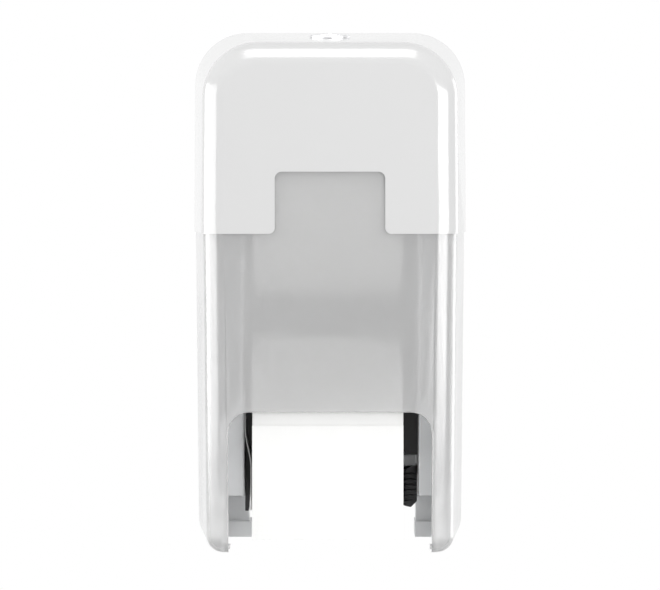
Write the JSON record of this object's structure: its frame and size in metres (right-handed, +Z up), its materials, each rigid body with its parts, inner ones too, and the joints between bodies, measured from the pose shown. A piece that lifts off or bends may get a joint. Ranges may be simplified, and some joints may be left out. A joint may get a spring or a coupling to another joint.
{
  "type": "double roll toilet paper dispenser",
  "caption": "Wall dispenser that holds two toilet rolls one above the other behind a locking cover, with a translucent lower half and a button that drops the spare roll.",
  "frame": {"origin": "centre of the rectangle of the wall screws, on the back face", "axes": "+Z up, +Y into the wall, so the front faces -Y, and +X to the right"},
  "size_m": [0.1868, 0.14, 0.3454],
  "materials": {
    "white_gloss": "polished opaque white ABS",
    "frosted": "frosted translucent plastic, smooth outside",
    "grey_plastic": "satin light grey",
    "black_plastic": "satin black",
    "steel": "bright zinc",
    "lock_metal": "satin nickel",
    "roll_paper": "soft white tissue",
    "cardboard": "plain grey-brown board",
    "plug_plastic": "natural polypropylene"
  },
  "bodies": {
    "chassis": {"back_plate": "grey_plastic", "left_cheek": "grey_plastic", "right_cheek": "grey_plastic", "cheek_screws": "steel", "left_guide_rail": "black_plastic", "right_guide_rail": "black_plastic", "left_hinge_pin": "steel", "right_hinge_pin": "steel", "brake_leaf": "steel", "gate_spring": "steel", "release_spring": "steel", "paper_tail": "roll_paper"},
    "cover": {"upper_cover": "white_gloss", "lower_cover": "frosted", "push_nuts": "steel", "lock_body": "lock_metal", "lock_nut": "steel"},
    "lock": {"lock_cylinder": "lock_metal", "lock_cam": "steel", "cam_screw": "steel"},
    "upper_roll": {"upper_roll_paper": "roll_paper", "upper_roll_core": "cardboard", "upper_left_plug": "plug_plastic", "upper_right_plug": "plug_plastic"},
    "lower_roll": {"lower_roll_paper": "roll_paper", "lower_roll_core": "cardboard", "lower_left_plug": "plug_plastic", "lower_right_plug": "plug_plastic"},
    "release": {"release_latch": "grey_plastic", "release_button": "black_plastic", "pull_rod": "steel", "rod_clip": "steel"},
    "gate": {"gate_shaft": "steel", "left_gate": "black_plastic", "right_gate": "black_plastic"}
  },
  "joints": [
    {"name": "cover_hinge", "type": "hinge", "parent": "chassis", "child": "cover", "pos_m": [0, -0.015, -0.187], "axis": [1, 0, 0], "range_deg": [0, 88]},
    {"name": "lock_turn", "type": "hinge", "parent": "cover", "child": "lock", "pos_m": [0, -0.065, 0.13831], "axis": [0, 0.0872, -0.9962], "range_deg": [0, 90]},
    {"name": "upper_roll_spin", "type": "hinge", "parent": "chassis", "child": "upper_roll", "pos_m": [0, -0.069, 0.033], "axis": [1, 0, 0], "continuous": true},
    {"name": "lower_roll_spin", "type": "hinge", "parent": "chassis", "child": "lower_roll", "pos_m": [0, -0.069, -0.118], "axis": [1, 0, 0], "continuous": true},
    {"name": "release_slide", "type": "slide", "parent": "chassis", "child": "release", "axis": [0, 0, -1], "range_m": [0, 0.0075], "stiffness_N_per_m": 400, "springref_m": -0.01, "deforming": ["release_spring"]},
    {"name": "gate_turn", "type": "hinge", "parent": "chassis", "child": "gate", "pos_m": [0, -0.01, 0.112], "axis": [1, 0, 0], "range_deg": [0, 12.6], "stiffness_Nm_per_rad": 0.05, "springref_deg": -17.19}
  ],
  "couplings": [
    {"joint": "gate_turn", "follows": "release_slide", "rad_per_m": 29.07}
  ]
}
